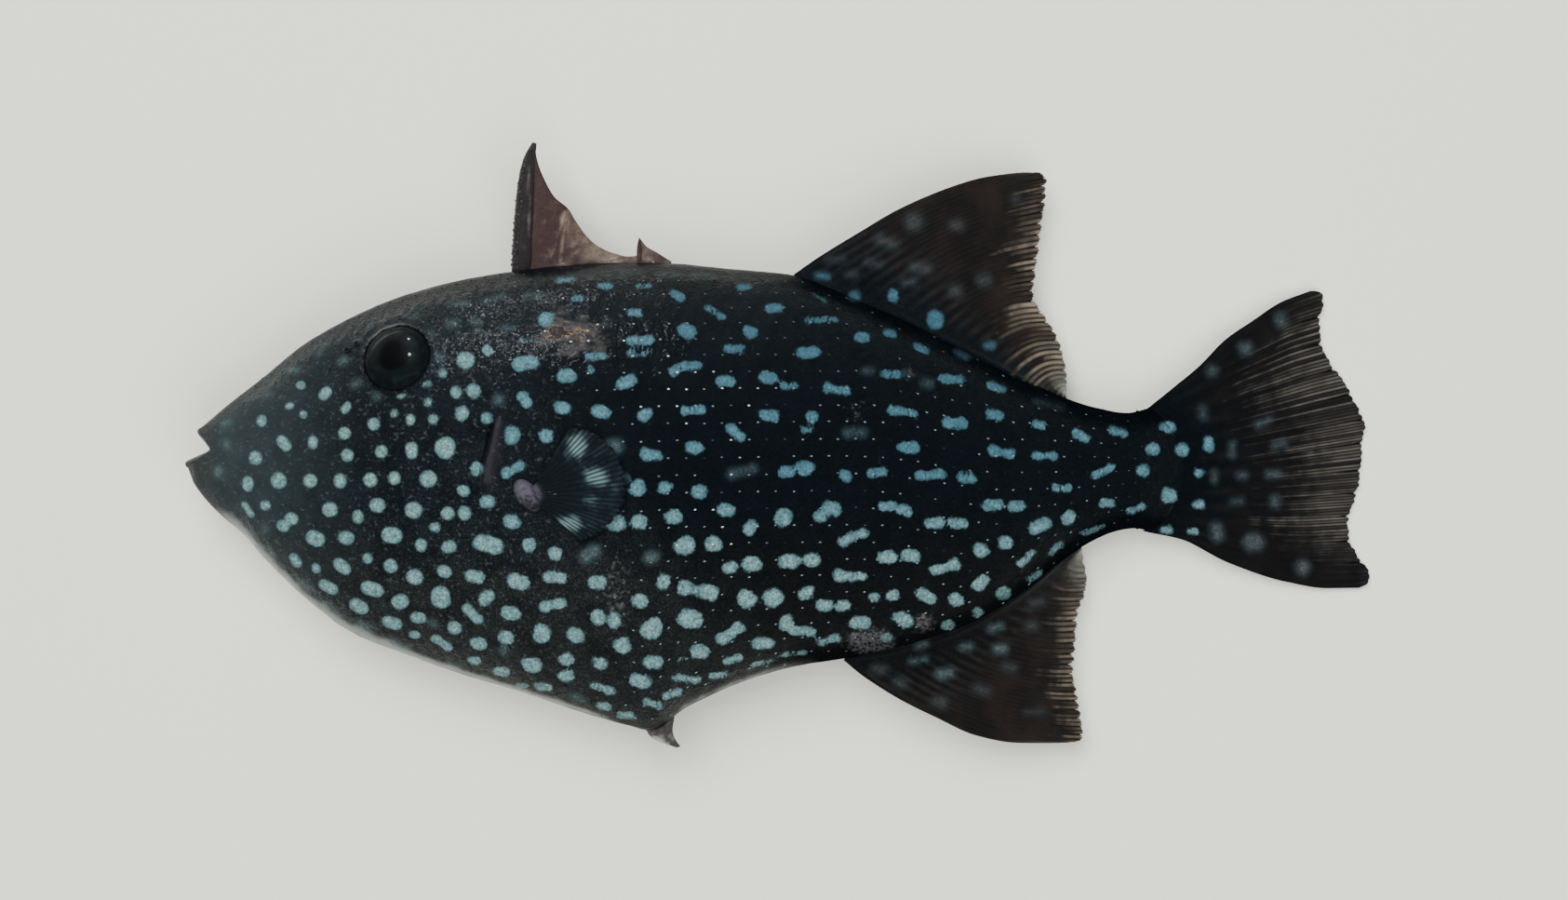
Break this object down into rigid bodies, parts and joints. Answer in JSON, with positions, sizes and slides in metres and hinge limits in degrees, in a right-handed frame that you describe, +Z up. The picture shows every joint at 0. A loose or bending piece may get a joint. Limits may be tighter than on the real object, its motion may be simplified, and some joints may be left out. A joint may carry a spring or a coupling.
{
  "type": "triggerfish",
  "caption": "Rough triggerfish, dark with pale spots, lying on its right side with the first dorsal spine raised.",
  "frame": {"origin": "middle of the bounding box at floor level: the right flank rests on the plane z = 0", "axes": "+X from the snout towards the tail, +Y from the belly towards the back, +Z up, out of the left flank"},
  "size_m": [0.3221, 0.163, 0.0488],
  "materials": {
    "skin": "wet, rough-scaled, blue-black with pale blue spots",
    "fin": "wet membrane over soft rays, dark brown",
    "spine": "rough bone with dark membrane",
    "eye": "clear wet cornea over a dark iris"
  },
  "bodies": {
    "root": {"head": "skin", "trunk": "skin", "tail_stalk": "skin", "eye_left": "eye", "eye_right": "eye", "first_dorsal_fin": "spine", "second_dorsal_fin": "fin", "anal_fin": "fin", "caudal_fin": "fin", "pectoral_fin_left": "fin", "pectoral_fin_right": "fin", "pelvic_spine": "spine"}
  },
  "joints": []
}
